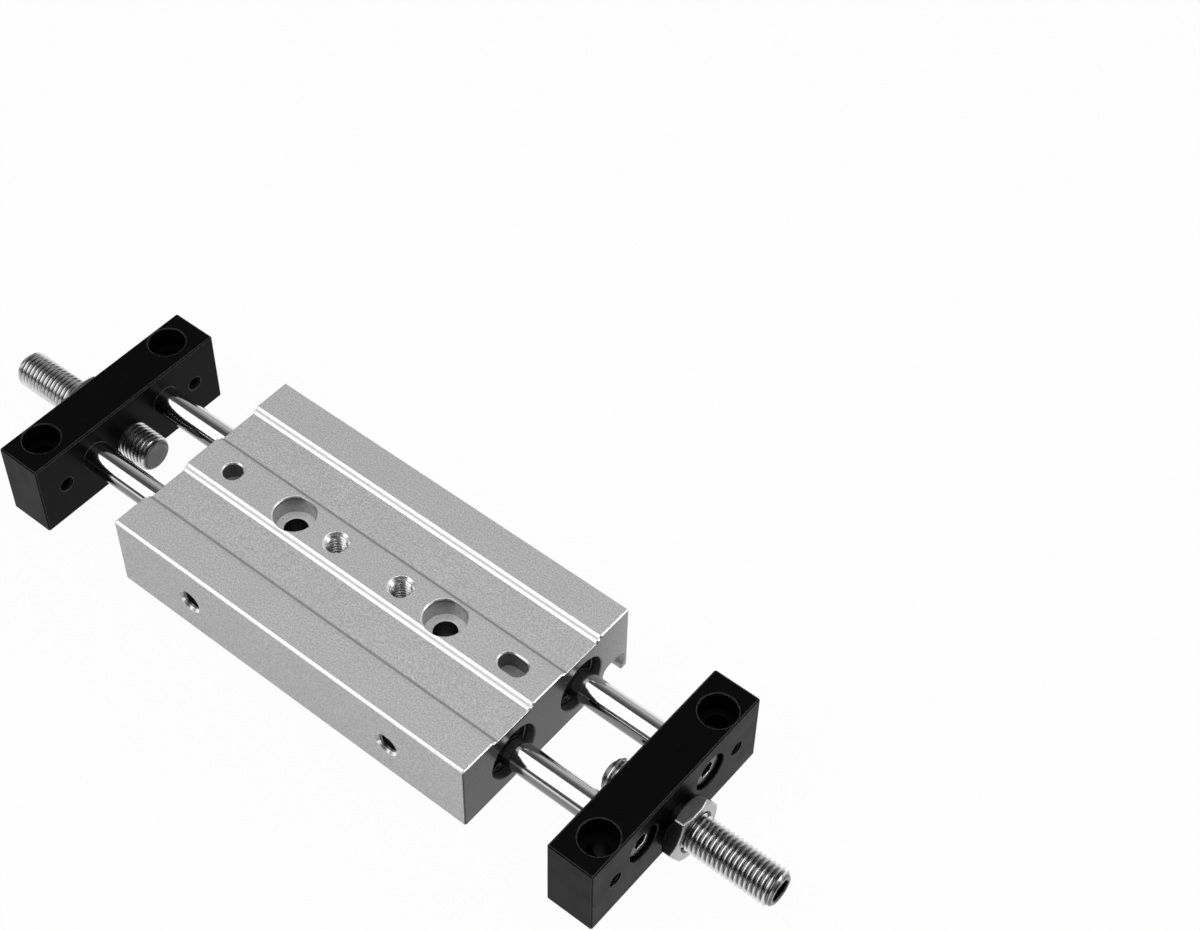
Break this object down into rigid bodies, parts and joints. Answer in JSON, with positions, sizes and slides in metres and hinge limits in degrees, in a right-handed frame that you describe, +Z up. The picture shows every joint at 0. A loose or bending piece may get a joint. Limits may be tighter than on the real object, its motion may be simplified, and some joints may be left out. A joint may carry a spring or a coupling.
{
  "type": "twin rod pneumatic cylinder",
  "caption": "Flat slide cylinder with parallel through rods tied by black end plates, a grooved aluminium barrel and adjustable stop bolts.",
  "frame": {"origin": "middle of the assembly's bounding box at its underside, which is the end plates' feet; X = 0 is the barrel's middle at mid stroke", "axes": "+X along the rods, towards the end with the slotted pin hole; the air ports face -Y; +Z up, through the barrel's top"},
  "size_m": [0.1916, 0.0474, 0.0198],
  "materials": {
    "barrel_aluminium": "clear anodised after fine blasting, machined ends",
    "hard_chrome": "ground and hard chrome plated",
    "piston_aluminium": "turned",
    "magnet": "moulded bonded magnet, matt",
    "spring_steel": "phosphated",
    "seal_rubber": "moulded",
    "cover_aluminium": "turned, clear anodised",
    "bronze": "sintered",
    "zinc_plate": "zinc plated",
    "black_anodised": "black anodised, satin",
    "plated_screw": "nickel plated",
    "nut_steel": "dark, bright on its edges",
    "bolt_steel": "bright rolled thread",
    "urethane": "moulded urethane"
  },
  "bodies": {
    "rod_frame": {"rod_front": "hard_chrome", "piston_front": "piston_aluminium", "piston_magnet_front": "magnet", "piston_clips_front": "spring_steel", "piston_seal_front_left": "seal_rubber", "piston_seal_front_right": "seal_rubber", "rod_rear": "hard_chrome", "piston_rear": "piston_aluminium", "piston_magnet_rear": "magnet", "piston_clips_rear": "spring_steel", "piston_seal_rear_left": "seal_rubber", "piston_seal_rear_right": "seal_rubber", "end_plate_left": "black_anodised", "rod_screws_left": "plated_screw", "lock_nut_left": "nut_steel", "end_plate_right": "black_anodised", "rod_screws_right": "plated_screw", "lock_nut_right": "nut_steel"},
    "barrel_unit": {"barrel": "barrel_aluminium", "rod_cover_front_left": "cover_aluminium", "rod_bush_front_left": "bronze", "rod_seal_front_left": "seal_rubber", "cover_o_ring_front_left": "seal_rubber", "seal_washer_front_left": "zinc_plate", "snap_ring_front_left": "spring_steel", "rod_cover_front_right": "cover_aluminium", "rod_bush_front_right": "bronze", "rod_seal_front_right": "seal_rubber", "cover_o_ring_front_right": "seal_rubber", "seal_washer_front_right": "zinc_plate", "snap_ring_front_right": "spring_steel", "rod_cover_rear_left": "cover_aluminium", "rod_bush_rear_left": "bronze", "rod_seal_rear_left": "seal_rubber", "cover_o_ring_rear_left": "seal_rubber", "seal_washer_rear_left": "zinc_plate", "snap_ring_rear_left": "spring_steel", "rod_cover_rear_right": "cover_aluminium", "rod_bush_rear_right": "bronze", "rod_seal_rear_right": "seal_rubber", "cover_o_ring_rear_right": "seal_rubber", "seal_washer_rear_right": "zinc_plate", "snap_ring_rear_right": "spring_steel"},
    "stop_bumper_left_unit": {"stop_bumper_left": "urethane"},
    "stop_bolt_left_unit": {"stop_bolt_left": "bolt_steel"},
    "stop_bumper_right_unit": {"stop_bumper_right": "urethane"},
    "stop_bolt_right_unit": {"stop_bolt_right": "bolt_steel"}
  },
  "joints": [
    {"name": "barrel_slide", "type": "slide", "parent": "rod_frame", "child": "barrel_unit", "axis": [1, 0, 0], "range_m": [-0.0142, 0.0142]},
    {"name": "stop_left_advance", "type": "slide", "parent": "rod_frame", "child": "stop_bumper_left_unit", "axis": [1, 0, 0], "range_m": [-0.00401, 0]},
    {"name": "stop_left_turn", "type": "hinge", "parent": "stop_bumper_left_unit", "child": "stop_bolt_left_unit", "pos_m": [-0.078, 0, 0.007], "axis": [1, 0, 0], "range_deg": [-1440, 0]},
    {"name": "stop_right_advance", "type": "slide", "parent": "rod_frame", "child": "stop_bumper_right_unit", "axis": [1, 0, 0], "range_m": [0, 0.00401]},
    {"name": "stop_right_turn", "type": "hinge", "parent": "stop_bumper_right_unit", "child": "stop_bolt_right_unit", "pos_m": [0.078, 0, 0.007], "axis": [1, 0, 0], "range_deg": [0, 1440]}
  ],
  "couplings": [
    {"joint": "stop_left_advance", "follows": "stop_left_turn", "m_per_rad": 0.00015915},
    {"joint": "stop_right_advance", "follows": "stop_right_turn", "m_per_rad": 0.00015915}
  ]
}
